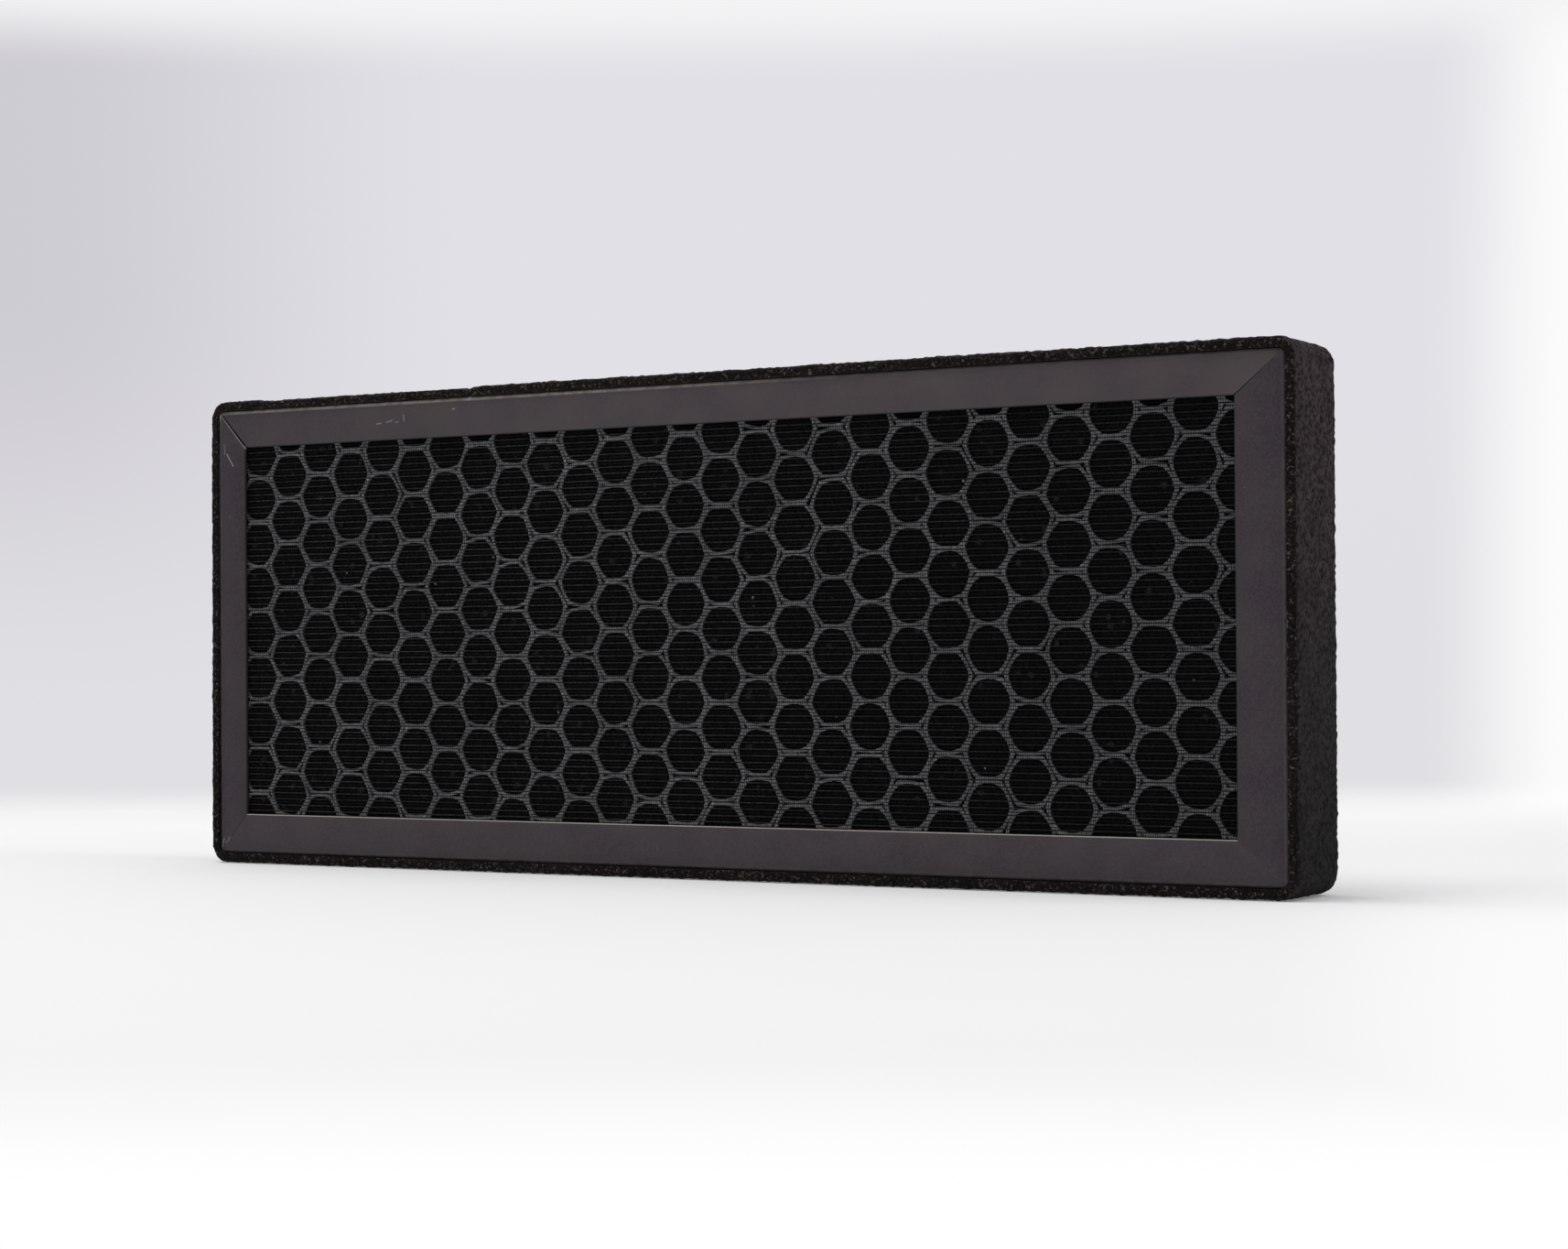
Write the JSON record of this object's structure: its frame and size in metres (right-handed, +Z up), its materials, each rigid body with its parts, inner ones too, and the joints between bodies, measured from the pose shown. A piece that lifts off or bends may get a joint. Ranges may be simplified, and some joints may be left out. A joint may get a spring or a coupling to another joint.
{
  "type": "air purifier filter",
  "caption": "Rectangular air purifier filter cassette: black card frame with a foam edge seal, a netted honeycomb of carbon granules in front and a pleated fine filter behind.",
  "frame": {"origin": "centre of the footprint of the long foam edge that the cassette stands on", "axes": "+X along the length, -Y out of the front window with the honeycomb, +Z up across the width"},
  "size_m": [0.207, 0.0166, 0.0828],
  "materials": {
    "card": "matte black card, slightly brown, with pale worn creases",
    "foam": "matte open-cell foam",
    "net": "fine black woven mesh",
    "honeycomb": "dull dark grey",
    "carbon": "black granules with small glints",
    "filter_paper": "white, fibrous",
    "hot_melt_glue": "waxy, off-white"
  },
  "bodies": {
    "root": {"card_frame": "card", "foam_seal": "foam", "front_net": "net", "honeycomb_core": "honeycomb", "carbon_granules": "carbon", "back_net": "net", "pleated_paper": "filter_paper", "edge_sealant": "hot_melt_glue", "glue_beads": "hot_melt_glue"}
  },
  "joints": []
}
